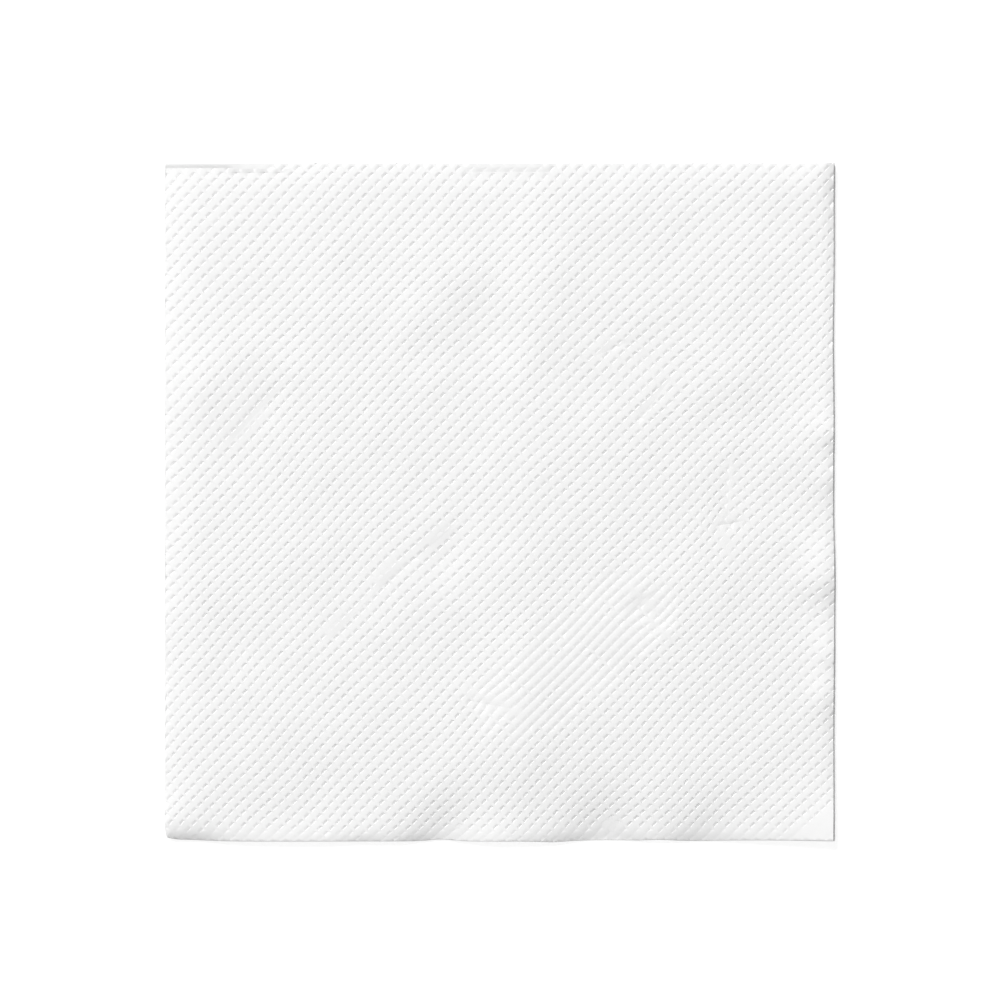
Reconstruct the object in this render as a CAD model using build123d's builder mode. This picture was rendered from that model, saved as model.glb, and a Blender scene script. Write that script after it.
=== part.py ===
"""A quarter-folded paper napkin: one embossed tissue sheet, folded in half twice.

The sheet lies flat on Z = 0 with its four leaves stacked. The first fold is along the -Y edge and
joins the leaves in pairs. The second fold is along the -X edge and carries the upper pair round to
the lower pair. The +X and +Y edges are the open, cut edges. All sizes are in millimetres.
"""

import os
from math import ceil, hypot, pi

from build123d import *

# The sheet as cut, before folding
sheet_width = 250.0
sheet_length = 253.0

# One leaf of embossed tissue, and the air between two leaves
leaf_thickness = 0.32
leaf_gap = 0.16

# How far each fold lies off the middle of the sheet
first_fold_offset = 0.25
second_fold_offset = 0.10

# Embossed rows, pressed at 45 degrees into both outer faces, and the smooth strip along each fold
row_pitch = 1.70
groove_width = 0.90
groove_depth = 0.12
smooth_strip = 0.30

# The stack of four leaves
leaf_count = 4
leaf_pitch = leaf_thickness + leaf_gap
stack_height = leaf_count * leaf_pitch - leaf_gap
middle_height = stack_height / 2

# The first fold bends each pair of leaves round its own gap, a little off the middle of the sheet
inner_bend = leaf_pitch / 2
leaf_length = (sheet_length - pi * inner_bend) / 2
inner_leaf_length = leaf_length + first_fold_offset
outer_leaf_length = leaf_length - first_fold_offset

# The second fold bends the outer leaves round the inner ones, so they end short at the open edge
outer_bend = inner_bend + leaf_pitch
inner_leaf_width = (sheet_width - pi * inner_bend) / 2
outer_leaf_width = (sheet_width - pi * outer_bend) / 2
uncut_width = sheet_width / 2 + second_fold_offset

# The folded outline, centred on the origin
first_fold_edge = inner_bend + leaf_thickness / 2
folded_width = middle_height + inner_leaf_width + second_fold_offset
folded_length = first_fold_edge + inner_leaf_length
first_fold_y = first_fold_edge - folded_length / 2
second_fold_x = middle_height - folded_width / 2
half_diagonal = hypot(folded_width, folded_length) / 2

# An even count of rows leaves a smooth land at the middle of each face
row_count = 2 * ceil(half_diagonal / row_pitch)

# Planes: across the leaves at the second fold, between the pairs, and along the embossed rows
section_plane = Plane((second_fold_x, first_fold_y, middle_height), x_dir=(0, 1, 0), z_dir=(1, 0, 0))
middle_plane = Plane.XY.offset(middle_height)
top_diagonal = Plane((0, 0, stack_height), x_dir=(-1, 1, 0), z_dir=(1, 1, 0))
underside_diagonal = Plane((0, 0, 0), x_dir=(-1, -1, 0), z_dir=(1, -1, 0))
second_fold_axis = Axis((second_fold_x, 0, middle_height), (0, -1, 0))

# Rows of grooves, one way across the top face and the other way across the underside
with BuildPart() as embossing:
    for diagonal in (top_diagonal, underside_diagonal):
        with BuildSketch(diagonal.offset(-half_diagonal)):
            with GridLocations(row_pitch, row_pitch, row_count, 1):
                Polygon(
                    (-groove_width / 2, 0),
                    (0, -groove_depth),
                    (groove_width / 2, 0),
                    align=None,
                )
        extrude(amount=2 * half_diagonal)
    with Locations((second_fold_x + smooth_strip, first_fold_y + smooth_strip, 0)):
        Box(sheet_width, sheet_length, stack_height, align=Align.MIN, mode=Mode.INTERSECT)

# The folded sheet
with BuildPart() as napkin:
    # The upper pair of leaves, joined at the first fold
    with BuildSketch(section_plane) as pair_section:
        with BuildLine():
            Line((inner_leaf_length, inner_bend), (0, inner_bend))
            CenterArc((0, inner_bend + leaf_pitch / 2), leaf_pitch / 2, 90, 180)
            Line((0, outer_bend), (outer_leaf_length, outer_bend))
        trace(line_width=leaf_thickness)
    upper_pair = extrude(amount=uncut_width)

    # The second fold, and the lower pair that it leads to
    revolve(pair_section.sketch, axis=second_fold_axis, revolution_arc=180)
    mirror(upper_pair, about=middle_plane)

    # Each leaf ends at its own cut edge
    leaf_widths = (
        outer_leaf_width + second_fold_offset,
        inner_leaf_width + second_fold_offset,
        inner_leaf_width - second_fold_offset,
        outer_leaf_width - second_fold_offset,
    )
    for leaf, leaf_width in enumerate(leaf_widths):
        with Locations((second_fold_x + leaf_width, 0, leaf * leaf_pitch - leaf_gap / 2)):
            Box(
                uncut_width - leaf_width,
                folded_length,
                leaf_pitch,
                align=(Align.MIN, Align.CENTER, Align.MIN),
                mode=Mode.SUBTRACT,
            )

    # The embossing
    add(embossing.part, mode=Mode.SUBTRACT)

napkin.part.label = "napkin"
os.makedirs("parts", exist_ok=True)
export_step(napkin.part, "parts/napkin.step")
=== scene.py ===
"""Dress the paper napkin: one sheet of white embossed tissue, folded in half twice.

The sheet is made as one closed mesh, in millimetres in the frame of the CAD model: the embossed
outer faces, the plain faces inside, the bends of both folds and the cut edges. Lengths become
metres where a mesh, a lamp or the camera is made.
"""

import logging
import math
from dataclasses import dataclass, field, replace
from enum import Enum

import bmesh
import bpy
import numpy as np
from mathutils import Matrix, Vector


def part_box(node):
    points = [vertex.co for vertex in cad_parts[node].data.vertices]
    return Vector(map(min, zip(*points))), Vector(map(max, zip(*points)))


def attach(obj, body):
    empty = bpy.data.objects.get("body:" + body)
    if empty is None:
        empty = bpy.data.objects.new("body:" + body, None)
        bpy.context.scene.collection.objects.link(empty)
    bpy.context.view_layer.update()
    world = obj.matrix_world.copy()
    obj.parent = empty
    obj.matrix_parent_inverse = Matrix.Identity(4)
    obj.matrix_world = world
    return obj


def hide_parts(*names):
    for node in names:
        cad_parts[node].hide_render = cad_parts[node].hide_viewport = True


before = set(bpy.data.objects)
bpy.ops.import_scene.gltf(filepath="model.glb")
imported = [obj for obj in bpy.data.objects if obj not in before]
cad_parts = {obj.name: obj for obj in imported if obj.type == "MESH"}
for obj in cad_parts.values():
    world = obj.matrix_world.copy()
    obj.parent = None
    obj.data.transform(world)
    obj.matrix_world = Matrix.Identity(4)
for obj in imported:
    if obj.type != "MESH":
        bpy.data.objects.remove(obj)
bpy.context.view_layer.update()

MM = 0.001
NODE = "napkin"
BODY = "root"
LOG = logging.getLogger("napkin")

FULL_TURN = 2.0 * math.pi
ROOT_TWO = math.sqrt(2.0)
ORIGIN = (0.0, 0.0)
WHITE = (1.0, 1.0, 1.0, 1.0)

Array = np.ndarray
Point = tuple[float, float]
Line = tuple[Point, Point]
Colour = tuple[float, float, float, float]


class Side(Enum):
    """The two sides of the tissue: the embossed face shows outside, the back is inside the first fold."""

    FACE = "face"
    BACK = "back"


class Half(Enum):
    """The two pairs of leaves that the second fold lays on each other, by their angle on that fold."""

    UPPER = 90.0
    LOWER = -90.0


class Leaf(Enum):
    """The two leaves of a pair that the first fold joins, by their angle on that fold."""

    OUTER = 90.0
    INNER = -90.0


class Edge(Enum):
    """The four edges of a leaf, each named for where it lies in the picture."""

    LEFT = "left"
    RIGHT = "right"
    BOTTOM = "bottom"
    TOP = "top"


class Spot(Enum):
    """The kinds of points in one square of the embossing, each with the name of its depth."""

    CREST = "crest"
    SADDLE = "saddle"
    UPPER_RIM = "upper_rim"
    LOWER_RIM = "lower_rim"
    TIP = "tip"
    VALLEY = "valley"


CellPoint = tuple[float, float, Spot]


def bell(offset: Array) -> Array:
    """Return a smooth bump that is 1 at offset 0 and nearly 0 beyond an offset of 2."""
    return np.exp(-offset * offset)


def ramp(value: Array, start: float, end: float) -> Array:
    """Return a smooth rise from 0 at the start value to 1 at the end value."""
    share = np.clip((value - start) / (end - start), 0.0, 1.0)
    return share * share * (3.0 - 2.0 * share)


def filled(points: Array, faces: list[list[int]]) -> bmesh.types.BMesh:
    """Make a loose mesh to work on.

    Args:
        points: Its points, a row each.
        faces: Its faces, as lists of the points' indices.

    Returns:
        The mesh.
    """
    plan = bpy.data.meshes.new("plan")
    plan.from_pydata(points.tolist(), [], faces)
    grid = bmesh.new()
    grid.from_mesh(plan)
    bpy.data.meshes.remove(plan)
    return grid


def emptied(grid: bmesh.types.BMesh) -> tuple[Array, Array]:
    """Split a loose mesh into triangles, read it and let it go.

    Args:
        grid: The mesh.

    Returns:
        Its points, a row each, and its triangles as rows of the points' indices.
    """
    bmesh.ops.triangulate(grid, faces=[face for face in grid.faces if len(face.verts) > 3])
    grid.verts.index_update()
    points = np.array([vertex.co for vertex in grid.verts])
    triangles = np.array([[vertex.index for vertex in face.verts] for face in grid.faces])
    grid.free()
    return points, triangles


def linked(name: str, data: bpy.types.ID) -> bpy.types.Object:
    """Make an object and link it to the scene.

    Args:
        name: The object's name.
        data: Its mesh, lamp or camera.

    Returns:
        The object.
    """
    made = bpy.data.objects.new(name, data)
    bpy.context.scene.collection.objects.link(made)
    return made


@dataclass(frozen=True)
class Places:
    """Places in a plane, across and up, in millimetres."""

    x: Array
    y: Array

    def seen_from(self, origin: Point, turn: float) -> "Places":
        """Give the places along and across turned axes.

        Args:
            origin: Where the axes cross.
            turn: How far they are turned, in radians from +X towards +Y.

        Returns:
            The same places on those axes.
        """
        east, north = self.x - origin[0], self.y - origin[1]
        along = east * math.cos(turn) + north * math.sin(turn)
        return Places(along, north * math.cos(turn) - east * math.sin(turn))


@dataclass(frozen=True)
class SoftWaves:
    """A sum of soft waves in chance directions, in millimetres, that keeps a surface from looking ruled."""

    amplitude: float
    shortest: float
    longest: float
    seed: int
    count: int = 7

    def height(self, at: Places) -> Array:
        """Add up the waves.

        Args:
            at: Where to read them.

        Returns:
            Their sum at each place.
        """
        draw = np.random.default_rng(self.seed)
        total = np.zeros_like(at.x)
        for length in np.geomspace(self.shortest, self.longest, self.count):
            turn, phase = draw.uniform(0.0, FULL_TURN, 2)
            along = at.seen_from(ORIGIN, turn).x * FULL_TURN / length
            total = total + self.amplitude * length / self.longest * np.sin(along + phase)
        return total


@dataclass(frozen=True)
class Swell:
    """A soft rise, or with a negative height a soft hollow, of the whole stack of leaves.

    Sizes are in millimetres. The long radius lies along the turn, in degrees from +X towards +Y.
    """

    centre: Point
    height: float
    long_radius: float
    short_radius: float
    turn: float = 0.0

    def rise(self, at: Places) -> Array:
        """Return the height of the swell at each place."""
        own = at.seen_from(self.centre, math.radians(self.turn))
        return self.height * bell(np.hypot(own.x / self.long_radius, own.y / self.short_radius))


@dataclass(frozen=True)
class Flute:
    """A wave of the right edge, steeper on one flank, that dies out inside the napkin."""

    crest: float
    height: float
    below: float
    above: float
    reach: float

    def rise(self, inward: Array, along: Array) -> Array:
        """Return the height of the wave, by how far inside the edge and where along it a place is."""
        radius = np.where(along < self.crest, self.below, self.above)
        return self.height * bell((along - self.crest) / radius) * bell(inward / self.reach)


@dataclass(frozen=True)
class Lobe:
    """A stretch of an edge that moves further than the rest of it, or with a negative size less far."""

    centre: float
    size: float
    radius: float


def lobed(along: Array, base: float, lobes: tuple[Lobe, ...]) -> Array:
    """Return a base amount along an edge with its lobes added."""
    parts = (lobe.size * bell((along - lobe.centre) / lobe.radius) for lobe in lobes)
    return sum(parts, np.full_like(along, base))


@dataclass(frozen=True)
class Roll:
    """How the stack thins as it rolls over into an edge, with lobes that roll over further."""

    drop: float
    width: float
    lobes: tuple[Lobe, ...] = ()

    def rise(self, inward: Array, along: Array) -> Array:
        """Return the height lost, below 0, by how far inside the edge and where along it a place is."""
        share = np.clip(1.0 - inward / self.width, 0.0, 1.0)
        return -lobed(along, self.drop, self.lobes) * share * share


@dataclass(frozen=True)
class Outline:
    """How the edges depart from straight: the rounded closed corner and the swings along the edges."""

    low: Point
    high: Point
    bottom_swings: tuple[Lobe, ...]
    right_waves: SoftWaves = SoftWaves(0.07, 5.0, 40.0, seed=5)
    right_tuck: float = 0.12
    corner_shift: float = 0.45
    corner_radius: float = 1.6
    reach: float = 6.0

    def moved(self, at: Places) -> Places:
        """Move the points of a straight-edged napkin.

        Args:
            at: Where they are.

        Returns:
            Where they go.
        """
        from_left, from_right = at.x - self.low[0], self.high[0] - at.x
        above = at.y - self.low[1]
        corner = bell(from_left / self.corner_radius) * bell(above / self.corner_radius)
        shift = self.corner_shift * corner
        tuck = self.right_waves.height(Places(np.zeros_like(at.y), at.y)) + self.right_tuck
        swing = lobed(at.x, 0.0, self.bottom_swings)
        x = at.x + shift - tuck * bell(from_right / self.reach)
        return Places(x, at.y + shift + swing * bell(above / self.reach))


@dataclass(frozen=True)
class Stroke:
    """A straight line on the top leaf."""

    start: Point
    end: Point

    def length(self) -> float:
        """Return the line's length."""
        return math.dist(self.start, self.end)

    def beside(self, at: Places) -> Places:
        """Return how far along the line each place is, and how far to the left of it."""
        east, north = self.end[0] - self.start[0], self.end[1] - self.start[1]
        return at.seen_from(self.start, math.atan2(north, east))


@dataclass(frozen=True)
class Crease(Stroke):
    """A line along which the dots are flattened, or run together along their rows."""

    width: float
    flatten: float = 0.0
    join: float = 0.0

    def nearness(self, at: Places) -> Array:
        """Say how near each place is to the line.

        Args:
            at: Places on the napkin.

        Returns:
            1 on the line, fading to 0 to its sides and past its ends.
        """
        own = self.beside(at)
        past = np.maximum(0.0, np.maximum(-own.x, own.x - self.length()))
        return bell((np.hypot(own.y, past) / self.width) ** 2)


@dataclass(frozen=True)
class Pleat(Stroke):
    """A sharp valley in the top leaf, with a wide flank on the left of its line and one on the right."""

    depth: float
    left_width: float
    right_width: float
    soft_end: float = 1.5

    def rise(self, at: Places) -> Array:
        """Lower the places in the valley.

        Args:
            at: Places on the napkin.

        Returns:
            The height lost at each place, as a negative number.
        """
        own = self.beside(at)
        width = np.where(own.y > 0.0, self.left_width, self.right_width)
        ends = ramp(np.minimum(own.x, self.length() - own.x), -self.soft_end, self.soft_end)
        return -self.depth * ends * np.clip(1.0 - np.abs(own.y) / width, 0.0, 1.0)

    def score_lines(self) -> tuple[Line, ...]:
        """Return the line along the bottom of the valley."""
        return ((self.start, self.end),)


@dataclass(frozen=True)
class TurnedEdge:
    """A stretch of the top cut edge that is bent up along a sharp crease, and eases off above it."""

    left: float
    right: float
    crease: float
    slope: float
    easing: float
    soft_end: float = 2.5

    def rise(self, at: Places) -> Array:
        """Lift the places above the crease.

        Args:
            at: Places on the napkin.

        Returns:
            The height gained at each place.
        """
        stretch = ramp(at.x, self.left - self.soft_end, self.left + self.soft_end)
        stretch = stretch * (1.0 - ramp(at.x, self.right - self.soft_end, self.right + self.soft_end))
        above = np.maximum(0.0, at.y - self.crease)
        return self.slope * stretch * self.easing * (1.0 - np.exp(-above / self.easing))

    def score_lines(self) -> tuple[Line, ...]:
        """Return the crease, and the line above it where the bend has mostly eased off."""
        heights = self.crease, self.crease + self.easing
        return tuple(((self.left, height), (self.right, height)) for height in heights)


@dataclass(frozen=True)
class Relief:
    """How the folded sheet departs from flat: rolls, waves, swells, creases and bent edges."""

    low: Point
    high: Point
    rolls: dict[Edge, Roll]
    flutes: tuple[Flute, ...]
    swells: tuple[Swell, ...]
    creases: tuple[Crease, ...]
    pleats: tuple[Pleat, ...]
    turned_edges: tuple[TurnedEdge, ...]
    unevenness: SoftWaves = SoftWaves(0.04, 4.5, 40.0, seed=11, count=16)
    patches: SoftWaves = SoftWaves(0.45, 2.5, 9.0, seed=21, count=6)
    joined_strip: Point = (1.6, 3.0)
    flattest: float = 0.20
    softness: float = 0.08

    def thickness(self, at: Places, height: float) -> Array:
        """Return how thick the stack is, as a share of its height when flat, and never quite nothing."""
        over = (1.0 + self.rise(at) / height - self.flattest) / self.softness
        return self.flattest + self.softness * np.logaddexp(0.0, over)

    def rise(self, at: Places) -> Array:
        """Add up what lifts and lowers the whole stack.

        Args:
            at: Places on the napkin.

        Returns:
            The height that the stack gains at each place.
        """
        inside = {
            Edge.BOTTOM: (at.y - self.low[1], at.x),
            Edge.LEFT: (at.x - self.low[0], at.y),
            Edge.TOP: (self.high[1] - at.y, at.x),
            Edge.RIGHT: (self.high[0] - at.x, at.y),
        }
        parts = [self.rolls[edge].rise(*offsets) for edge, offsets in inside.items()]
        parts += [flute.rise(*inside[Edge.RIGHT]) for flute in self.flutes]
        parts += [swell.rise(at) for swell in self.swells]
        return sum(parts) + self.unevenness.height(at)

    def wrinkle(self, at: Places) -> Array:
        """Return the height that the top leaf alone gains at each place."""
        return sum((bend.rise(at) for bend in self.pleats + self.turned_edges), np.zeros_like(at.x))

    def score_lines(self) -> list[Line]:
        """Return the lines along which the top leaf is bent sharply."""
        return [line for bend in self.pleats + self.turned_edges for line in bend.score_lines()]

    def dot_share(self, at: Places) -> Array:
        """Return the share of a dot's depth that is left at each place."""
        shares = (1.0 - crease.flatten * crease.nearness(at) for crease in self.creases)
        return math.prod(shares, start=np.ones_like(at.x))

    def joined(self, at: Places) -> Array:
        """Say how far the dots of a row run together.

        Args:
            at: Places on the napkin.

        Returns:
            0 where they stand apart, up to 1 where they are one groove.
        """
        joined = 1.0 - ramp(at.y - self.low[1], *self.joined_strip)
        for crease in self.creases:
            joined = np.maximum(joined, crease.join * crease.nearness(at))
        return joined * (1.0 - np.clip(self.patches.height(at), 0.0, 1.0))


@dataclass(frozen=True)
class DotCell:
    """One square of the embossing with its dimple, in shares of the lattice pitch.

    A dimple lies along its row, with a valley between an upper and a lower wall and pointed tips.
    Land stands up between the rows, with its crest on the squares' corners.
    """

    tip: float = 0.40
    body: float = 0.26
    upper_wall: float = 0.29
    lower_wall: float = 0.045

    def corners(self) -> tuple[CellPoint, ...]:
        """Return the square's corners, counter-clockwise."""
        return tuple((u, v, Spot.CREST) for u, v in ((-0.5, -0.5), (0.5, -0.5), (0.5, 0.5), (-0.5, 0.5)))

    def points(self) -> tuple[CellPoint, ...]:
        """Lay out the square's points.

        Returns:
            Its corners and saddles, then the dimple's rim from its left tip, and its valley.
        """
        return self.corners() + (
            (-0.5, 0.0, Spot.SADDLE),
            (0.5, 0.0, Spot.SADDLE),
            (-self.tip, 0.0, Spot.TIP),
            (-self.body, -self.lower_wall, Spot.LOWER_RIM),
            (self.body, -self.lower_wall, Spot.LOWER_RIM),
            (self.tip, 0.0, Spot.TIP),
            (self.body, self.upper_wall, Spot.UPPER_RIM),
            (-self.body, self.upper_wall, Spot.UPPER_RIM),
            (-self.body, 0.0, Spot.VALLEY),
            (self.body, 0.0, Spot.VALLEY),
        )

    def faces(self) -> tuple[tuple[int, ...], ...]:
        """Lay out the square's faces.

        Returns:
            Land below, right, above and left, then the walls and the tips, by the points' numbers.
        """
        land = (0, 1, 8, 7), (1, 5, 9), (1, 9, 8), (5, 2, 9), (2, 10, 9)
        land += (2, 3, 11, 10), (3, 4, 6), (3, 6, 11), (4, 0, 6), (0, 7, 6)
        return land + ((7, 8, 13, 12), (12, 13, 10, 11), (6, 7, 12), (6, 12, 11), (8, 9, 13), (9, 10, 13))


class ShortDotCell(DotCell):
    """A square whose dimple is a plain diamond, for the face that lies on the table."""

    def points(self) -> tuple[CellPoint, ...]:
        """Lay out the square's points.

        Returns:
            Its corners, then the dimple's rim from its left tip, and its deepest point.
        """
        return self.corners() + (
            (-self.tip, 0.0, Spot.TIP),
            (0.0, -self.lower_wall, Spot.LOWER_RIM),
            (self.tip, 0.0, Spot.TIP),
            (0.0, self.upper_wall, Spot.UPPER_RIM),
            (0.0, 0.0, Spot.VALLEY),
        )

    def faces(self) -> tuple[tuple[int, ...], ...]:
        """Return the square's faces: the land round the dimple, then its walls."""
        land = (0, 1, 5), (1, 2, 6), (1, 6, 5), (2, 7, 6), (2, 3, 7), (3, 0, 4), (3, 4, 7), (0, 5, 4)
        return land + ((4, 5, 8), (5, 6, 8), (6, 7, 8), (7, 4, 8))


@dataclass(frozen=True)
class SpotDepths:
    """How deep each kind of point is pressed, in millimetres."""

    saddle: float
    tip: float
    upper_rim: float
    lower_rim: float
    valley: float
    crest: float = 0.0

    def by_kind(self, kinds: Array) -> Array:
        """Return the depth of each point."""
        return np.select([kinds == kind for kind in Spot], [getattr(self, kind.value) for kind in Spot])


@dataclass(frozen=True)
class Embossing:
    """Depths of the embossing, where its dots stand apart and where they run together into grooves."""

    apart: SpotDepths = SpotDepths(saddle=0.046, tip=0.055, upper_rim=0.040, lower_rim=0.070, valley=0.185)
    groove: SpotDepths = SpotDepths(saddle=0.085, tip=0.110, upper_rim=0.040, lower_rim=0.092, valley=0.110)
    uneven: float = 0.15
    ragged: float = 0.012
    seed: int = 7

    def depth(self, kinds: Array, joined: Array, cells: Array) -> Array:
        """Say how deep each point of the embossing is pressed.

        Args:
            kinds: The points' kinds.
            joined: How far the dots run together there.
            cells: The number of the square that each point is in.

        Returns:
            The depths.
        """
        draw = np.random.default_rng(self.seed)
        factors = draw.uniform(1.0 - self.uneven, 1.0 + self.uneven, cells.max() + 1)[cells]
        apart = self.apart.by_kind(kinds) * np.where(kinds == Spot.VALLEY, factors, 1.0)
        apart = apart + draw.normal(0.0, self.ragged, len(kinds))
        return np.maximum(0.0, apart + joined * (self.groove.by_kind(kinds) - apart))


@dataclass(frozen=True)
class CutLattice:
    """A lattice of dots cut to a leaf: places as shares of its width and length, depths and triangles.

    Each of the lines is a mask of the points on lines of one kind that are crisp.
    """

    share_x: Array
    share_y: Array
    depth: Array
    lines: tuple[Array, ...]
    triangles: Array
    edge_tolerance: float = 1e-6
    score_reach: float = 1.0
    score_snap: float = 0.02

    def scored(self, lines: list[Line], corner: Point, size: Point) -> "CutLattice":
        """Split the triangles along straight lines, so that the bends there are crisp.

        Args:
            lines: The lines' ends, in millimetres.
            corner: The leaf's lower left corner.
            size: The leaf's width and length.

        Returns:
            The split lattice.
        """
        x, y = corner[0] + self.share_x * size[0], corner[1] + self.share_y * size[1]
        grid = filled(np.stack([x, y, -self.depth], axis=1), self.triangles.tolist())
        on_lines: list[bmesh.types.BMVert] = []
        for start, end in lines:
            on_lines += self._split(grid, Vector((*start, 0.0)), Vector((*end, 0.0)))
        grid.verts.index_update()
        marked = [vertex.index for vertex in on_lines]
        points, triangles = emptied(grid)
        score = np.zeros(len(points), bool)
        score[marked] = True
        added = np.zeros(len(points) - len(self.depth), bool)
        return replace(
            self,
            share_x=(points[:, 0] - corner[0]) / size[0],
            share_y=(points[:, 1] - corner[1]) / size[1],
            depth=-points[:, 2],
            lines=(*(np.concatenate([line, added]) for line in self.lines), score),
            triangles=triangles,
        )

    def _split(self, grid: bmesh.types.BMesh, start: Vector, end: Vector) -> list[bmesh.types.BMVert]:
        """Split the faces of a mesh along one line.

        Args:
            grid: The mesh, in the plane of the leaf.
            start: Where the line starts.
            end: Where it ends.

        Returns:
            The mesh's vertices on that line.
        """
        along = end - start
        normal = Vector((-along.y, along.x, 0.0)).normalized()
        faces = []
        for face in grid.faces:
            offset = face.calc_center_median() - start
            beside = abs(offset.dot(normal)) < self.score_reach
            if beside and 0.0 < offset.dot(along) < along.length_squared:
                faces.append(face)
        edges = dict.fromkeys(edge for face in faces for edge in face.edges)
        corners = dict.fromkeys(vertex for face in faces for vertex in face.verts)
        parts = [*corners, *edges, *faces]
        cut = bmesh.ops.bisect_plane(
            grid, geom=parts, dist=self.score_snap, plane_co=start, plane_no=normal
        )
        return [item for item in cut["geom_cut"] if isinstance(item, bmesh.types.BMVert)]

    def along(self, edge: Edge) -> tuple[Array, Array]:
        """Find the points on one edge of the leaf, in order.

        Args:
            edge: The edge to follow.

        Returns:
            The points' indices, and how far along the edge each one is.
        """
        fixed, moving = self.share_x, self.share_y
        if edge in (Edge.BOTTOM, Edge.TOP):
            fixed, moving = moving, fixed
        target = 1.0 if edge in (Edge.RIGHT, Edge.TOP) else 0.0
        on_edge = np.flatnonzero(np.abs(fixed - target) < self.edge_tolerance)
        on_edge = on_edge[np.argsort(moving[on_edge])]
        return on_edge, moving[on_edge]


@dataclass(frozen=True)
class Nudge:
    """A place where the rows of dots are pushed aside, by a shift that fades out round it."""

    centre: Point
    shift: Point
    radius: float

    def share(self, at: Places) -> Array:
        """Return the share of the shift at each place."""
        return bell(np.hypot(at.x - self.centre[0], at.y - self.centre[1]) / self.radius)


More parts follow.
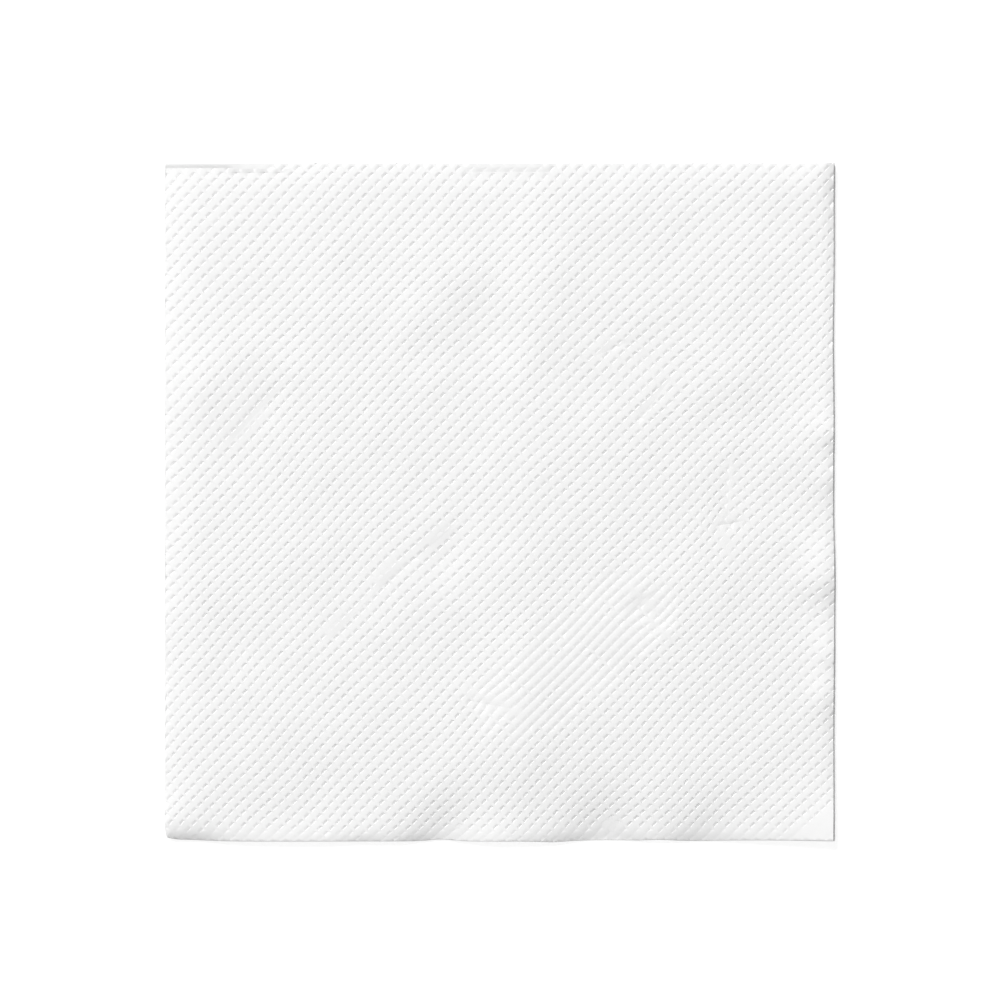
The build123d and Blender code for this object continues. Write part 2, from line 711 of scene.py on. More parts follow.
@dataclass(frozen=True)
class Lattice:
    """The square lattice of embossed dots, turned by 45 degrees, a little wider at the top edge.

    The dots are evenly spaced in a plane of their own, the even plane, which is spread onto the napkin.
    """

    cell: DotCell
    embossing: Embossing
    drift: tuple[SoftWaves, SoftWaves]
    nudges: tuple[Nudge, ...] = ()
    mirrored: bool = False
    pitch: float = 1.72
    spread: float = 0.098
    held_margin: float = 0.03
    joined_from: float = 0.5
    corner_tolerance: float = 1e-6
    spot_tolerance: float = 1e-3
    clip_snap: float = 1e-5

    @property
    def hand(self) -> float:
        """Return 1, or -1 for the mirror image."""
        return -1.0 if self.mirrored else 1.0

    @property
    def step(self) -> float:
        """Return half the diagonal of a square."""
        return self.pitch / ROOT_TWO

    def _to_even(self, y: float, length: float) -> Point:
        """Return the height in the even plane of a height on a napkin of that length, and the stretch."""
        even = length / self.spread * (math.sqrt(1.0 + 2.0 * self.spread * y / length) - 1.0)
        return even, 1.0 + self.spread * even / length

    def _to_napkin(self, even: Places, length: float) -> Places:
        """Return where places in the even plane come to lie on a napkin of that length."""
        x = even.x * (1.0 + self.spread * even.y / length)
        return Places(x, even.y + self.spread * even.y**2 / (2.0 * length))

    def cut(self, corner: Point, size: Point, relief: Relief) -> CutLattice:
        """Cut the lattice to a leaf.

        Args:
            corner: The leaf's lower left corner.
            size: Its width and length.
            relief: Where the dots are flattened or run together.

        Returns:
            The lattice inside the leaf's edges.
        """
        (left, bottom), (width, length) = corner, size
        low, low_stretch = self._to_even(bottom, length)
        high, high_stretch = self._to_even(bottom + length, length)
        corners = [
            Vector((left / low_stretch, low, 0.0)),
            Vector(((left + width) / low_stretch, low, 0.0)),
            Vector(((left + width) / high_stretch, high, 0.0)),
            Vector((left / high_stretch, high, 0.0)),
        ]
        points, triangles = self._clipped(*self._squares(corners, length, relief), corners)
        even = Places(points[:, 0], points[:, 1])
        upward = (even.y - low) / (high - low)
        left_line = corners[0].x + upward * (corners[3].x - corners[0].x)
        right_line = corners[1].x + upward * (corners[2].x - corners[1].x)
        share_x = (even.x - left_line) / (right_line - left_line)
        share_y = (self._to_napkin(even, length).y - bottom) / length
        depth = np.where(np.hypot(share_x, share_y) < self.corner_tolerance, 0.0, -points[:, 2])
        joined = relief.joined(Places(left + share_x * width, bottom + share_y * length))
        lines = self._creased(even, joined > self.joined_from)
        moved_x, moved_y = (waves.height(even) for waves in self.drift)
        for nudge in self.nudges:
            share = nudge.share(even)
            moved_x, moved_y = moved_x + nudge.shift[0] * share, moved_y + nudge.shift[1] * share
        share_x = share_x + self._held(share_x) * moved_x / width
        share_y = share_y + self._held(share_y) * moved_y / length
        return CutLattice(share_x, share_y, depth, lines, triangles)

    def _held(self, share: Array) -> Array:
        """Return a factor that is 0 at a share of 0 or 1, and 1 a little further in."""
        return ramp(np.minimum(share, 1.0 - share), 0.0, self.held_margin)

    def _creased(self, even: Places, joined: Array) -> tuple[Array, Array]:
        """Find the points where the tissue is pressed to a crisp line.

        Args:
            even: The points' places in the even plane.
            joined: Where the dots of a row run together.

        Returns:
            Which points are on the rim of a dimple, and which are along its valley.
        """
        along = (even.y + self.hand * even.x) / (2.0 * self.step)
        across = (even.y - self.hand * even.x) / (2.0 * self.step)
        along, across = along - np.round(along), across - np.round(across)
        rim, valley = np.zeros(along.shape, bool), np.zeros(along.shape, bool)
        for u, v, kind in self.cell.points():
            near = np.hypot(along - u, across - v) < self.spot_tolerance
            if kind in (Spot.TIP, Spot.UPPER_RIM, Spot.LOWER_RIM):
                rim |= near
            if kind in (Spot.TIP, Spot.VALLEY):
                valley |= near
            if kind is Spot.SADDLE:
                valley |= near & joined
        return rim & ~joined, valley

    def _squares(self, corners: list[Vector], length: float, relief: Relief) -> tuple[Array, list]:
        """Lay the squares of the lattice over a leaf, with the dots' depths as heights.

        Args:
            corners: The leaf's corners in the even plane.
            length: The leaf's length.
            relief: Where the dots are flattened or run together.

        Returns:
            The points, and the faces as lists of their indices.
        """
        reach = math.ceil(max(corner.length for corner in corners) / self.pitch) + 1
        row, column = np.meshgrid(np.arange(-reach, reach + 1), np.arange(-reach, reach + 1))
        wide = max(abs(corner.x) for corner in corners) + self.pitch
        tall = max(abs(corner.y) for corner in corners) + self.pitch
        over = (np.abs(row - column) * self.step < wide) & (np.abs(row + column) * self.step < tall)
        row, column = row[over], column[over]
        pattern = self.cell.points()
        along = (row[:, None] + np.array([point[0] for point in pattern])).ravel()
        across = (column[:, None] + np.array([point[1] for point in pattern])).ravel()
        _, first, order = np.unique(along + 1j * across, return_index=True, return_inverse=True)
        along, across = along[first], across[first]
        kinds = np.array([point[2] for point in pattern])[first % len(pattern)]
        even = Places(self.hand * (along - across) * self.step, (along + across) * self.step)
        at = self._to_napkin(even, length)
        depth = self.embossing.depth(kinds, relief.joined(at), first // len(pattern))
        depth = depth * relief.dot_share(at)
        lookup = order.reshape(-1, len(pattern))
        faces = [face for corner_set in self.cell.faces() for face in lookup[:, corner_set].tolist()]
        return np.stack([even.x, even.y, -depth], axis=1), faces

    def _clipped(self, points: Array, faces: list, corners: list[Vector]) -> tuple[Array, Array]:
        """Clip the lattice to a four-cornered leaf.

        Args:
            points: The lattice's points.
            faces: Its faces.
            corners: The leaf's corners, counter-clockwise.

        Returns:
            The points that are left, and the triangles between them.
        """
        grid = filled(points, faces)
        for corner, following in zip(corners, corners[1:] + corners[:1]):
            side = following - corner
            bmesh.ops.bisect_plane(
                grid,
                geom=grid.verts[:] + grid.edges[:] + grid.faces[:],
                dist=self.clip_snap,
                plane_co=corner,
                plane_no=Vector((side.y, -side.x, 0.0)),
                clear_outer=True,
            )
        return emptied(grid)


@dataclass
class Rail:
    """A run of mesh vertices in order, with a mark that says how far along the run each one is."""

    indices: Array
    marks: Array

    def between(self, before: "Rail", after: "Rail") -> "Rail":
        """Join two leaves' edges by this run round the fold between them.

        Args:
            before: The edge of the first leaf, from the fold outward.
            after: The edge of the second leaf, from the fold outward.

        Returns:
            The whole run, marked from -1 to 0 on the first leaf and from 1 to 2 on the second.
        """
        indices = np.concatenate([before.indices[::-1], self.indices, after.indices])
        return Rail(indices, np.concatenate([-before.marks[::-1], self.marks, 1.0 + after.marks]))


Panels = dict[tuple[Half, Leaf], dict[Edge, Rail]]


class PatchMesh:
    """Vertices and faces of the sheet, gathered patch by patch and welded at the end."""

    def __init__(self) -> None:
        """Start with nothing."""
        self.points: list[Array] = []
        self.faces: list[tuple[int, ...]] = []
        self.lines: list[Array] = []
        self.count = 0

    def add(self, at: Places, z: Array) -> Array:
        """Add vertices.

        Args:
            at: Their places on the napkin.
            z: Their heights.

        Returns:
            Their indices, in the shape of the arrays.
        """
        self.points.append(np.stack([at.x.ravel(), at.y.ravel(), z.ravel()], axis=1))
        indices = np.arange(self.count, self.count + z.size).reshape(z.shape)
        self.count += z.size
        return indices

    def triangles(self, indices: Array) -> None:
        """Add one triangle for each row of indices."""
        self.faces.extend(map(tuple, indices.tolist()))

    def grid(self, indices: Array) -> None:
        """Add the quads of a grid of vertices."""
        quads = indices[:-1, :-1], indices[1:, :-1], indices[1:, 1:], indices[:-1, 1:]
        self.faces.extend(map(tuple, np.stack(quads, axis=-1).reshape(-1, 4).tolist()))

    def zip(self, first: Rail, second: Rail) -> None:
        """Fill the strip between two rails that run side by side, each with its own spacing.

        Args:
            first: One rail.
            second: The other rail, with marks that run the same way.
        """
        runs = iter(first.indices.tolist()), iter(second.indices.tolist())
        ends = [next(run) for run in runs]
        steps = [(mark, number) for number, rail in enumerate((first, second)) for mark in rail.marks[1:]]
        for _, number in sorted(steps):
            following = next(runs[number])
            self.faces.append((ends[0], following, ends[1]))
            ends[number] = following

    def to_object(self, name: str, weld: float, sharp_angle: float) -> bpy.types.Object:
        """Weld the patches into one closed mesh and make its object.

        Args:
            name: The name of the object and its mesh.
            weld: Vertices this near each other become one, in millimetres.
            sharp_angle: Edges that bend by more than this are sharp, in degrees.

        Returns:
            The object, linked to the scene.
        """
        mesh = bpy.data.meshes.new(name)
        mesh.from_pydata(np.concatenate(self.points).tolist(), [], self.faces)
        shape = bmesh.new()
        shape.from_mesh(mesh)
        shape.verts.ensure_lookup_table()
        line_layers = []
        for number, line in enumerate(self.lines):
            line_layers.append(shape.verts.layers.int.new(f"line_{number}"))
            for index in line.tolist():
                shape.verts[index][line_layers[-1]] = 1
        bmesh.ops.remove_doubles(shape, verts=shape.verts[:], dist=weld)
        bmesh.ops.recalc_face_normals(shape, faces=shape.faces[:])
        bmesh.ops.scale(shape, vec=(MM, MM, MM), verts=shape.verts[:])
        for face in shape.faces:
            face.smooth = True
        for edge in shape.edges:
            start, end = edge.verts
            on_line = any(start[layer] and end[layer] for layer in line_layers)
            edge.smooth = not on_line and edge.calc_face_angle(0.0) < math.radians(sharp_angle)
        for number in range(len(line_layers)):
            shape.verts.layers.int.remove(shape.verts.layers.int[f"line_{number}"])
        open_edges = sum(not edge.is_manifold for edge in shape.edges)
        LOG.info("%s: %d faces, %d edges that don't join two faces", name, len(shape.faces), open_edges)
        shape.to_mesh(mesh)
        shape.free()
        piece = linked(name, mesh)
        shading = piece.modifiers.new("even_shading", "WEIGHTED_NORMAL")
        shading.keep_sharp = True
        return piece


@dataclass
class FoldedSheet:
    """The napkin: one sheet folded first along its bottom edge and then along its left edge.

    A place on the sheet is given by four values. share_x runs from the second fold to the right cut
    edge and share_y from the first fold to the top cut edge. The second fold's angle runs from 90 on
    the upper pair to -90 on the lower pair, and the first fold's angle from 90 on the outer leaf of
    a pair to -90 on its inner leaf.
    """

    low: Vector
    high: Vector
    relief: Relief
    outline: Outline
    face_lattice: Lattice
    under_lattice: Lattice
    leaf_count: int = 4
    leaf_gap: float = 0.16
    top_ledge: float = 0.05
    right_ledge: float = 0.37
    lower_ledge_cut: float = 0.5
    fold_press: float = 0.45
    across_steps: int = 108
    upward_steps: int = 54
    panel_steps: int = 18
    bend_steps: int = 8
    weld: float = 1e-3
    sharp_angle: float = 55.0
    flat_size: Point = (0.250, 0.253)
    mesh: PatchMesh = field(default_factory=PatchMesh)

    def __post_init__(self) -> None:
        """Work out the leaves and folds from the box, and the places of the vertices along the edges."""
        self.height = self.high.z
        self.leaf = (self.height - (self.leaf_count - 1) * self.leaf_gap) / self.leaf_count
        self.middle = self.height / 2.0
        self.pair_middle = self.leaf + self.leaf_gap
        self.fold_x = self.low.x + self.fold_press * self.middle
        self.fold_y = self.low.y + self.fold_press * self.bend_radius(Side.FACE)
        self.across = np.linspace(0.0, 1.0, self.across_steps + 1)
        self.upward = np.linspace(0.0, 1.0, self.upward_steps + 1)

    def bend_radius(self, side: Side) -> float:
        """Return the radius at which one side of the tissue goes round the first fold."""
        return self.leaf_gap / 2.0 + (self.leaf if side is Side.FACE else 0.0)

    def width(self, inner: Array, lower: Array) -> Array:
        """Return how far a leaf reaches from the second fold, by how far it is an inner and a lower one."""
        ledge = self.right_ledge * (1.0 - inner) * (1.0 - self.lower_ledge_cut * lower)
        return self.high.x - self.fold_x - ledge

    def length(self, inner: Array) -> Array:
        """Return how far a leaf reaches from the first fold, by how far it is an inner one."""
        return self.high.y - self.fold_y - self.top_ledge * (1.0 - inner)

    def place(
        self,
        side: Side,
        share_x: Array | float,
        second_angle: Array | float,
        share_y: Array | float,
        first_angle: Array | float,
        press: Array | float = 0.0,
    ) -> Array:
        """Add vertices of one side of the tissue.

        Args:
            side: The side of the tissue.
            share_x: Places from the second fold to the right cut edge, from 0 to 1.
            second_angle: Angles on the second fold, in degrees.
            share_y: Places from the first fold to the top cut edge, from 0 to 1.
            first_angle: Angles on the first fold, in degrees.
            press: How deep the dots are there.

        Returns:
            The vertices' indices.
        """
        share_x, second_angle, share_y, first_angle, press = np.broadcast_arrays(
            *(np.asarray(value, float) for value in (share_x, second_angle, share_y, first_angle, press))
        )
        first, second = np.radians(first_angle), np.radians(second_angle)
        inner, lower = (90.0 - first_angle) / 180.0, (90.0 - second_angle) / 180.0
        radius = self.bend_radius(side)
        from_middle = self.pair_middle + radius * np.sin(first)
        x = self.fold_x - self.fold_press * from_middle * np.cos(second)
        y = self.fold_y - self.fold_press * radius * np.cos(first)
        x, y = x + share_x * self.width(inner, lower), y + share_y * self.length(inner)
        at = self.outline.moved(Places(x, y))
        z = self.middle + from_middle * np.sin(second)
        z = z * self.relief.thickness(at, self.height) - press * np.sin(second)
        on_top = np.clip(np.sin(first), 0.0, 1.0) * np.clip(np.sin(second), 0.0, 1.0)
        return self.mesh.add(at, z + on_top * self.relief.wrinkle(at))

    def build(self) -> bpy.types.Object:
        """Make the closed mesh of the whole sheet.

        Returns:
            Its object.
        """
        rims = {side: self._side(side) for side in Side}
        for name in rims[Side.FACE]:
            self.mesh.zip(rims[Side.FACE][name], rims[Side.BACK][name])
        return self.mesh.to_object("napkin_sheet", self.weld, self.sharp_angle)

    def _side(self, side: Side) -> dict[str, Rail]:
        """Make one side of the tissue.

        Args:
            side: The side to make.

        Returns:
            The runs of vertices along its cut edges.
        """
        angles = np.linspace(90.0, -90.0, self.bend_steps + 1)
        turns = angles[:, None]
        embossed = side is Side.FACE
        first = {half: self.place(side, self.across, half.value, 0.0, turns) for half in Half}
        second = {leaf: self.place(side, 0.0, turns, self.upward, leaf.value) for leaf in Leaf}
        self.mesh.grid(self.place(side, 0.0, turns, 0.0, angles))
        panels: Panels = {}
        for half in Half:
            for leaf in Leaf:
                if embossed and leaf is Leaf.OUTER:
                    panels[half, leaf] = self._embossed_panel(half)
                else:
                    panels[half, leaf] = self._plain_panel(side, half, leaf)
        for half in Half:
            if embossed:
                self.mesh.grid(first[half][1:])
                self.mesh.zip(panels[half, Leaf.OUTER][Edge.BOTTOM], Rail(first[half][1], self.across))
            else:
                self.mesh.grid(first[half])
        for leaf in Leaf:
            if embossed and leaf is Leaf.OUTER:
                self.mesh.grid(second[leaf][1:-1])
                for half, row in ((Half.UPPER, 1), (Half.LOWER, -2)):
                    self.mesh.zip(panels[half, leaf][Edge.LEFT], Rail(second[leaf][row], self.upward))
            else:
                self.mesh.grid(second[leaf])
        return self._rims(panels, first, second)

    def _rims(
        self, panels: Panels, first: dict[Half, Array], second: dict[Leaf, Array]
    ) -> dict[str, Rail]:
        """Follow the cut edges of one side of the tissue from leaf to leaf.

        Args:
            panels: The leaves' edges.
            first: The bends of the first fold.
            second: The bends of the second fold.

        Returns:
            A rail for each cut edge.
        """
        marks = np.linspace(0.0, 1.0, self.bend_steps + 1)[1:-1]
        rims: dict[str, Rail] = {}
        for half in Half:
            leaves = (panels[half, leaf][Edge.RIGHT] for leaf in Leaf)
            rims[f"right_{half.name}"] = Rail(first[half][1:-1, -1], marks).between(*leaves)
        for leaf in Leaf:
            leaves = (panels[half, leaf][Edge.TOP] for half in Half)
            rims[f"top_{leaf.name}"] = Rail(second[leaf][1:-1, -1], marks).between(*leaves)
        return rims

    def _embossed_panel(self, half: Half) -> dict[Edge, Rail]:
        """Make an outer face with its dots.

        Args:
            half: The upper pair for the top face, the lower pair for the underside.

        Returns:
            The rails along its four edges.
        """
        corner = self.fold_x, self.fold_y
        if half is Half.UPPER:
            size = float(self.width(0.0, 0.0)), float(self.length(0.0))
            plan = self.face_lattice.cut(corner, size, self.relief)
            plan = plan.scored(self.relief.score_lines(), corner, size)
        else:
            size = float(self.width(0.0, 1.0)), float(self.length(0.0))
            plan = self.under_lattice.cut(corner, size, replace(self.relief, creases=()))
        angle = Leaf.OUTER.value
        indices = self.place(Side.FACE, plan.share_x, half.value, plan.share_y, angle, plan.depth)
        self.mesh.triangles(indices[plan.triangles])
        self.mesh.lines += [indices[line] for line in plan.lines]
        rails: dict[Edge, Rail] = {}
        for edge in Edge:
            on_edge, marks = plan.along(edge)
            rails[edge] = Rail(indices[on_edge], marks)
        return rails

    def _plain_panel(self, side: Side, half: Half, leaf: Leaf) -> dict[Edge, Rail]:
        """Make a face between the leaves: a coarse grid inside four fine edges.

        Args:
            side: The side of the tissue.
            half: The pair that the leaf belongs to.
            leaf: The leaf of that pair.

        Returns:
            The rails along its four edges.
        """
        inset = 0.5 / self.panel_steps
        coarse = np.linspace(inset, 1.0 - inset, self.panel_steps)
        inside = self.place(side, coarse[:, None], half.value, coarse, leaf.value)
        self.mesh.grid(inside)
        across, upward = self.across, self.upward
        borders = {
            Edge.LEFT: (0.0, upward, upward, inside[0, :]),
            Edge.RIGHT: (1.0, upward, upward, inside[-1, :]),
            Edge.BOTTOM: (across, 0.0, across, inside[:, 0]),
            Edge.TOP: (across, 1.0, across, inside[:, -1]),
        }
        rails: dict[Edge, Rail] = {}
        for edge, (share_x, share_y, marks, border) in borders.items():
            rails[edge] = Rail(self.place(side, share_x, half.value, share_y, leaf.value), marks)
            self.mesh.zip(rails[edge], Rail(border, coarse))
        return rails

    def dress(self, piece: bpy.types.Object, finish: "TissueFinish") -> None:
        """Args:
            piece: The sheet's object.
            finish: The tissue's finish.
        """
        piece.data.materials.append(finish.material())
        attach(piece, BODY)
        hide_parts(NODE)


class Value:
    """A shader socket that carries a number, with arithmetic that adds Math nodes."""

    def __init__(self, graph: "ShaderGraph", socket: bpy.types.NodeSocket) -> None:
        """Wrap a socket of a graph."""
        self.graph = graph
        self.socket = socket

    def _math(self, operation: str, first: "Value | float", second: "Value | float") -> "Value":
        """Add a Math node and return its result."""
        node = self.graph.node("ShaderNodeMath", {"operation": operation}, {0: first, 1: second})
        return Value(self.graph, node.outputs[0])

    def __add__(self, other: "Value | float") -> "Value":
        """Return the sum."""
        return self._math("ADD", self, other)

    __radd__ = __add__

    def __mul__(self, other: "Value | float") -> "Value":
        """Return the product."""
        return self._math("MULTIPLY", self, other)

    __rmul__ = __mul__


class ShaderGraph:
    """A node tree that is filled node by node."""

    def __init__(self, tree: bpy.types.NodeTree) -> None:
        """Empty a tree and take it over."""
        self.tree = tree
        tree.nodes.clear()

    def node(
        self, kind: str, settings: dict[str, object] | None = None, sockets: dict | None = None
    ) -> bpy.types.Node:
        """Add a node.

        Args:
            kind: The node's type.
            settings: Its own settings, which are set first.
            sockets: Values or links of its input sockets, by name or number.

        Returns:
            The node.
        """
        node = self.tree.nodes.new(kind)
        for name, setting in (settings or {}).items():
            setattr(node, name, setting)
        for key, value in (sockets or {}).items():
            source = value.socket if isinstance(value, Value) else value
            if isinstance(source, bpy.types.NodeSocket):
                self.tree.links.new(source, node.inputs[key])
            else:
                node.inputs[key].default_value = source
        return node

    def noise(self, place: bpy.types.NodeSocket, scale: float, detail: float) -> Value:
        """Return smooth noise from 0 to 1 with that many features for each unit of place."""
        sockets = {"Vector": place, "Scale": scale, "Detail": detail}
        return Value(self, self.node("ShaderNodeTexNoise", {}, sockets).outputs["Fac"])

    def stretched(
        self, place: bpy.types.NodeSocket, factors: tuple[float, float, float]
    ) -> bpy.types.NodeSocket:
        """Return a place with each axis multiplied by its factor."""
        node = self.node("ShaderNodeVectorMath", {"operation": "MULTIPLY"}, {0: place, 1: factors})
        return node.outputs[0]

    def mixed(self, share: Value, first: Colour, second: Colour) -> bpy.types.NodeSocket:
        """Return a colour between two colours."""
        sockets = {"Factor": share, 6: first, 7: second}
        return self.node("ShaderNodeMix", {"data_type": "RGBA"}, sockets).outputs[2]

    def seen_directly(self) -> Value:
        """Tell looking from lighting.

        Returns:
            1 where the camera, a mirror or glass looks at the surface, and 0 where light gathers.
        """
        rays = self.node("ShaderNodeLightPath").outputs
        seen = Value(self, rays["Is Camera Ray"]) + Value(self, rays["Is Glossy Ray"])
        return seen + Value(self, rays["Is Transmission Ray"])


@dataclass(frozen=True)
class TissueFinish:
    """White tissue: matt, faintly mottled, with a fine fibre grain and creping lines."""

    pale: Colour = (0.925, 0.925, 0.925, 1.0)
    dull: Colour = (0.885, 0.884, 0.882, 1.0)
    least_rough: float = 0.81
    rough_range: float = 0.10
    specular: float = 0.15
    mottle_per_mm: float = 0.35
    mottle_detail: float = 3.0
    mottle_share: float = 0.6
    fibre_per_mm: float = 3.2
    fibre_detail: float = 4.0
    fibre_share: float = 0.4
    crepe_stretch: tuple[float, float, float] = (0.7, 3.4, 1.0)
    crepe_detail: float = 2.0
    grain_height: float = 0.012
    grain_strength: float = 0.6
    grain_fibre: float = 0.6
    grain_crepe: float = 0.4

    def material(self) -> bpy.types.Material:
        """Make the tissue's material.

        Returns:
            The material.
        """
        material = bpy.data.materials.new("white_tissue")
        material.use_nodes = True
        graph = ShaderGraph(material.node_tree)
        place = graph.node("ShaderNodeTexCoord").outputs["Object"]
        in_mm = graph.stretched(place, (1.0 / MM, 1.0 / MM, 1.0 / MM))
        mottle = graph.noise(in_mm, self.mottle_per_mm, self.mottle_detail)
        fibre = graph.noise(in_mm, self.fibre_per_mm, self.fibre_detail)
        crepe = graph.noise(graph.stretched(in_mm, self.crepe_stretch), 1.0, self.crepe_detail)
        shade = mottle * self.mottle_share + fibre * self.fibre_share
        relief = {
            "Strength": self.grain_strength,
            "Distance": self.grain_height * MM,
            "Height": fibre * self.grain_fibre + crepe * self.grain_crepe,
        }
        surface = {
            "Base Color": graph.mixed(shade, self.dull, self.pale),
            "Roughness": self.least_rough + self.rough_range * fibre,
            "Specular IOR Level": self.specular,
            "Normal": graph.node("ShaderNodeBump", {}, relief).outputs["Normal"],
        }
        shader = graph.node("ShaderNodeBsdfPrincipled", {}, surface)
        graph.node("ShaderNodeOutputMaterial", {}, {"Surface": shader.outputs["BSDF"]})
        return material


@dataclass(frozen=True)
class Studio:
    """The plain white table, the soft light from the upper left and the camera straight above.

    Lengths are in millimetres, apart from the middle of the napkin, which is in metres as the frame
    gives it.
    """

    middle: Vector
    view_width: float = 187.05
    aim_x: float = 0.05
    aim_y: float = 0.42
    camera_height: float = 1200.0
    sensor: float = 36.0
    farthest: float = 20000.0
    key_turn: float = 122.0
    key_climb: float = 41.0
    key_distance: float = 3000.0
    key_size: float = 1500.0
    key_watts: float = 85.9
    ambient: float = 0.40
    table_size: float = 6000.0
    table_white: float = 0.93
    table_glow: float = 0.58

    def build(self) -> None:
        """Make the table, the light and the camera."""
        self._table()
        self._world()
        self._key()
        self._camera()

    def _table(self) -> None:
        """Lay the white table just under the napkin."""
        half = self.table_size / 2.0 * MM
        mesh = bpy.data.meshes.new("table")
        corners = [(-half, -half, 0.0), (half, -half, 0.0), (half, half, 0.0), (-half, half, 0.0)]
        mesh.from_pydata(corners, [], [(0, 1, 2, 3)])
        table = linked("table", mesh)
        material = bpy.data.materials.new("white_table")
        material.use_nodes = True
        graph = ShaderGraph(material.node_tree)
        white = self.table_white
        glow_strength = graph.seen_directly() * self.table_glow
        matt = graph.node("ShaderNodeBsdfDiffuse", {}, {"Color": (white, white, white, 1.0)})
        glow = graph.node("ShaderNodeEmission", {}, {"Strength": glow_strength})
        both = graph.node("ShaderNodeAddShader", {}, {0: matt.outputs[0], 1: glow.outputs[0]})
        graph.node("ShaderNodeOutputMaterial", {}, {"Surface": both.outputs[0]})
        mesh.materials.append(material)

    def _world(self) -> None:
        """Surround the scene with plain white light, seen as white by the camera."""
        world = bpy.data.worlds.new("studio")
        world.use_nodes = True
        bpy.context.scene.world = world
        graph = ShaderGraph(world.node_tree)
        strength = self.ambient + (1.0 - self.ambient) * graph.seen_directly()
        light = graph.node("ShaderNodeBackground", {}, {"Color": WHITE, "Strength": strength})
        graph.node("ShaderNodeOutputWorld", {}, {"Surface": light.outputs[0]})

    def _key(self) -> None:
        """Hang a large soft lamp at the upper left."""
        lamp = bpy.data.lights.new("key", "AREA")
        lamp.energy = self.key_watts
        lamp.size = self.key_size * MM
        key = linked("key", lamp)
        turn, climb = math.radians(self.key_turn), math.radians(self.key_climb)
        level = math.cos(climb)
        direction = Vector((level * math.cos(turn), level * math.sin(turn), math.sin(climb)))
        key.location = self.middle + direction * self.key_distance * MM
        key.rotation_euler = direction.to_track_quat("Z", "Y").to_euler()

    def _camera(self) -> None:
        """Set the camera straight above the napkin, with its picture's top towards +Y."""
        lens = bpy.data.cameras.new("camera")
        lens.sensor_width = self.sensor
        lens.lens = self.sensor * self.camera_height / self.view_width
        lens.clip_end = self.farthest * MM
        camera = linked("camera", lens)
        aim = Vector((self.aim_x, self.aim_y, self.camera_height)) * MM
        camera.location = Vector((self.middle.x, self.middle.y, 0.0)) + aim
        bpy.context.scene.camera = camera


# The napkin's own forms, read from the photograph, in millimetres from the middle of the napkin

BOTTOM_LOBES = (
    Lobe(-57.5, 0.50, 5.5),
    Lobe(-25.5, 0.35, 4.0),
    Lobe(-15.0, 0.40, 4.0),
    Lobe(14.0, 0.35, 7.5),
    Lobe(25.0, 0.25, 3.5),
    Lobe(35.0, 0.25, 4.5),
    Lobe(43.0, 0.15, 4.0),
    Lobe(61.0, -0.18, 6.0),
)

ROLLS = {
    Edge.BOTTOM: Roll(0.18, 2.4, BOTTOM_LOBES),
    Edge.LEFT: Roll(0.75, 7.5, (Lobe(-61.0, -0.75, 5.0),)),
    Edge.TOP: Roll(0.30, 6.0),
    Edge.RIGHT: Roll(0.40, 2.2, (Lobe(-61.0, -0.40, 8.0),)),
}

BOTTOM_SWINGS = (
    Lobe(-60.0, 0.30, 6.0),
    Lobe(-10.8, 0.35, 3.0),
    Lobe(10.0, -0.18, 3.0),
    Lobe(20.0, 0.22, 7.0),
    Lobe(30.0, 0.25, 3.0),
    Lobe(50.0, 0.20, 14.0),
)

FLUTES = (
    Flute(15.0, 0.90, 9.0, 20.0, 8.0),
    Flute(12.6, 0.42, 2.0, 3.5, 3.0),
    Flute(4.3, 0.42, 2.0, 3.5, 3.5),
    Flute(-14.0, 1.15, 4.2, 8.5, 6.5),
    Flute(-28.0, 0.50, 2.4, 6.0, 4.0),
    Flute(-35.5, 0.80, 4.0, 8.0, 4.5),
    Flute(66.0, 2.20, 7.5, 6.0, 5.0),
)

SWELLS = (
    Swell((5.0, -48.0), 0.30, 60.0, 22.0),
    Swell((-57.5, -67.5), -1.20, 7.5, 4.5),
    Swell((-39.0, -68.0), 0.70, 11.0, 6.5),
    Swell((-11.0, -65.0), -1.10, 9.0, 5.5, 60.0),
    Swell((-0.5, -68.0), 0.75, 6.5, 6.5),
    Swell((20.0, -65.0), -1.40, 9.5, 6.8, 80.0),
    Swell((38.5, -65.0), -0.80, 7.0, 6.0, 70.0),
    Swell((34.0, -71.0), -0.40, 16.0, 9.0),
    Swell((69.0, -70.0), 2.40, 14.0, 14.0),
    Swell((-2.0, 29.5), -0.32, 13.0, 6.0, 86.0),
    Swell((8.0, 39.0), 0.34, 11.0, 7.0, 86.0),
    Swell((4.2, -36.0), 0.60, 20.0, 7.5, 90.0),
    Swell((18.8, 54.0), 0.12, 14.0, 5.0),
    Swell((-52.4, 25.0), 0.42, 9.0, 7.0, 45.0),
    Swell((-43.6, 16.9), -0.10, 6.0, 2.6, 45.0),
    Swell((-8.5, 43.5), 0.14, 5.0, 4.5),
    Swell((-15.5, 33.6), 0.16, 8.0, 5.0, 45.0),
    Swell((-14.0, 23.0), 0.12, 12.0, 4.0),
    Swell((-31.0, 35.5), 0.12, 9.0, 5.0),
    Swell((-9.6, -9.8), -0.24, 5.0, 3.5, 55.0),
    Swell((28.1, -20.3), -0.18, 4.5, 3.0, 15.0),
    Swell((46.5, 23.5), 0.12, 10.0, 4.5),
    Swell((42.0, 15.0), -0.10, 8.0, 4.0),
    Swell((43.5, 0.4), -0.15, 10.0, 4.5, 90.0),
)

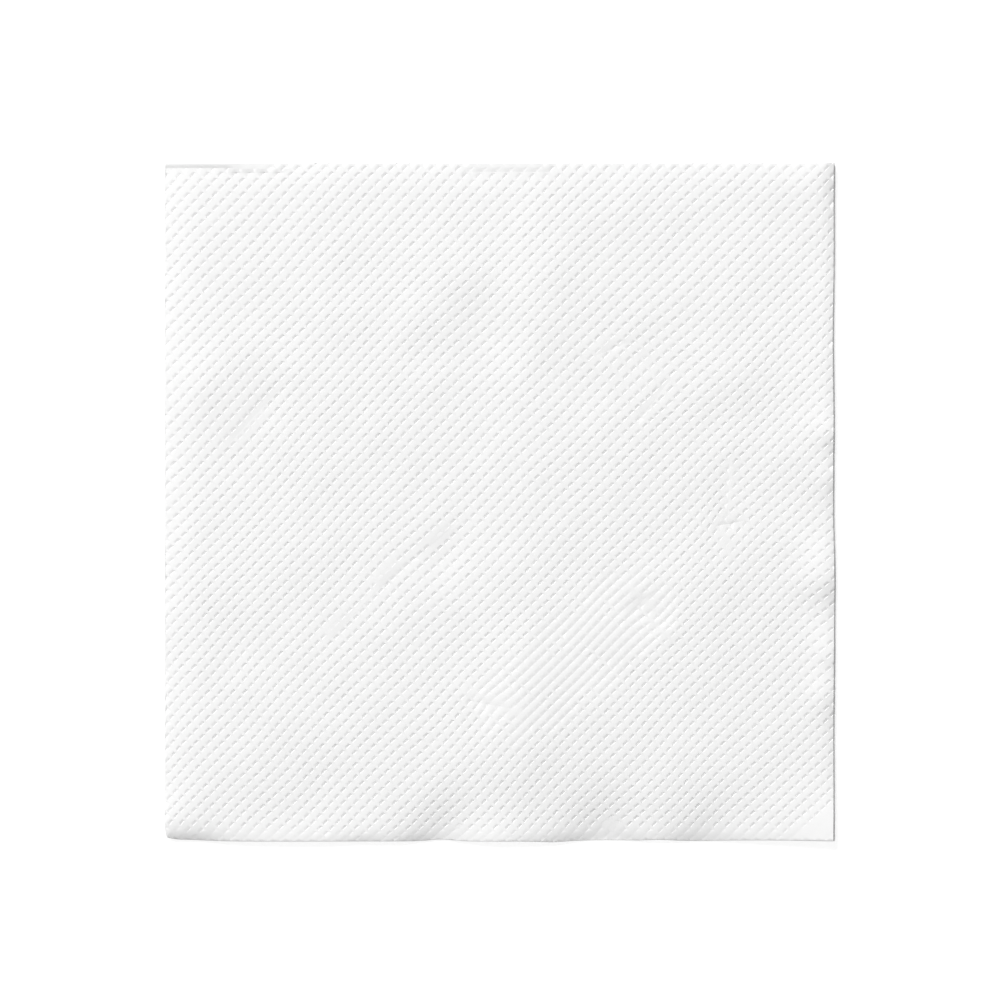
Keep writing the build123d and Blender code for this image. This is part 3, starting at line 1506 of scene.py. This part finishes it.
CREASES = (
    Crease((-50.9, 11.6), (-45.0, 17.4), 0.95, flatten=1.0),
    Crease((-45.0, 17.4), (-40.4, 22.6), 0.55, flatten=1.0),
    Crease((-31.7, -24.8), (-23.9, -17.9), 0.32, flatten=0.9),
    Crease((-22.4, -15.5), (-18.3, -11.8), 0.54, flatten=1.0),
    Crease((-16.0, -10.0), (-7.8, -3.8), 0.44, flatten=1.0),
    Crease((4.0, -37.5), (24.0, -20.0), 9.5, join=1.0),
    Crease((-64.0, 63.0), (-44.0, 63.0), 1.1, flatten=1.0),
    Crease((-5.5, 62.9), (7.5, 62.9), 1.2, flatten=0.85),
    Crease((-64.0, -63.4), (64.0, -63.4), 2.2, flatten=0.6),
    Crease((43.2, 8.0), (42.7, -3.0), 0.7, flatten=0.9),
    Crease((40.3, -4.1), (45.9, -4.7), 0.5, flatten=0.9),
    Crease((41.2, -5.6), (42.7, -10.1), 1.0, flatten=0.9),
    Crease((24.7, -16.8), (27.7, -19.4), 1.0, flatten=0.8),
    Crease((28.1, -22.6), (31.5, -25.8), 1.0, flatten=0.8),
    Crease((18.7, 28.5), (22.9, 30.7), 0.9, flatten=0.8),
    Crease((26.2, 29.4), (29.0, 24.4), 0.6, flatten=0.8),
    Crease((31.5, 23.2), (26.2, 15.4), 0.7, flatten=0.6),
    Crease((-6.0, -35.2), (3.5, -39.4), 0.8, flatten=0.7),
    Crease((57.5, -62.5), (62.0, -59.0), 2.2, flatten=1.0),
)

PLEATS = (
    Pleat((-50.6, 10.9), (-40.2, 22.2), 0.08, 1.9, 1.3),
    Pleat((-31.5, -25.2), (-22.6, -16.2), 0.035, 1.0, 0.8),
    Pleat((-22.6, -16.2), (-15.6, -10.4), 0.045, 1.5, 1.1),
    Pleat((-15.6, -10.4), (-7.2, -3.4), 0.045, 1.6, 1.2),
    Pleat((42.9, 8.5), (42.6, -4.0), 0.06, 0.9, 1.2),
    Pleat((40.3, -4.5), (45.4, -3.5), 0.13, 0.55, 2.2),
    Pleat((24.4, -20.6), (28.4, -16.6), 0.11, 1.3, 1.5),
    Pleat((27.4, -24.4), (32.2, -21.6), 0.08, 1.2, 1.2),
    Pleat((18.0, 27.4), (24.0, 29.8), 0.08, 1.4, 1.0),
    Pleat((25.6, 14.8), (31.6, 22.6), 0.09, 1.4, 1.2),
    Pleat((-6.2, -37.0), (3.8, -38.8), 0.07, 1.2, 1.2),
)

TURNED_EDGES = (
    TurnedEdge(-66.0, -50.0, 62.45, 0.62, easing=0.5),
    TurnedEdge(-51.0, -40.0, 61.5, 0.30, easing=0.8),
    TurnedEdge(-7.0, 9.0, 61.75, 0.28, easing=0.8),
)

NUDGES = (
    Nudge((22.5, 26.5), (0.95, 1.20), 3.5),
    Nudge((29.5, 20.0), (-0.90, -1.10), 3.4),
    Nudge((34.0, 26.0), (0.45, 0.55), 3.0),
    Nudge((-1.5, -38.0), (-0.35, 0.35), 3.2),
    Nudge((29.0, -21.0), (0.30, -0.35), 3.2),
    Nudge((42.5, -2.5), (-0.40, 0.45), 3.4),
)

DRIFT = SoftWaves(0.30, 16.0, 90.0, seed=3), SoftWaves(0.30, 16.0, 90.0, seed=4)


def main() -> None:
    """Build the napkin and the studio."""
    logging.basicConfig(level=logging.INFO, format="%(name)s: %(message)s")
    bpy.context.scene.view_settings.view_transform = "Standard"
    low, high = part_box(NODE)
    low_mm, high_mm = low / MM, high / MM
    corners = (low_mm.x, low_mm.y), (high_mm.x, high_mm.y)
    relief = Relief(*corners, ROLLS, FLUTES, SWELLS, CREASES, PLEATS, TURNED_EDGES)
    outline = Outline(*corners, BOTTOM_SWINGS)
    face_lattice = Lattice(DotCell(), Embossing(), DRIFT, NUDGES)
    under_lattice = Lattice(ShortDotCell(), Embossing(seed=8), DRIFT, mirrored=True)
    sheet = FoldedSheet(low_mm, high_mm, relief, outline, face_lattice, under_lattice)
    piece = sheet.build()
    sheet.dress(piece, TissueFinish())
    LOG.info("%s: %d triangles", piece.name, sum(len(p.vertices) - 2 for p in piece.data.polygons))
    Studio((low + high) / 2.0).build()


if __name__ == "__main__":
    main()
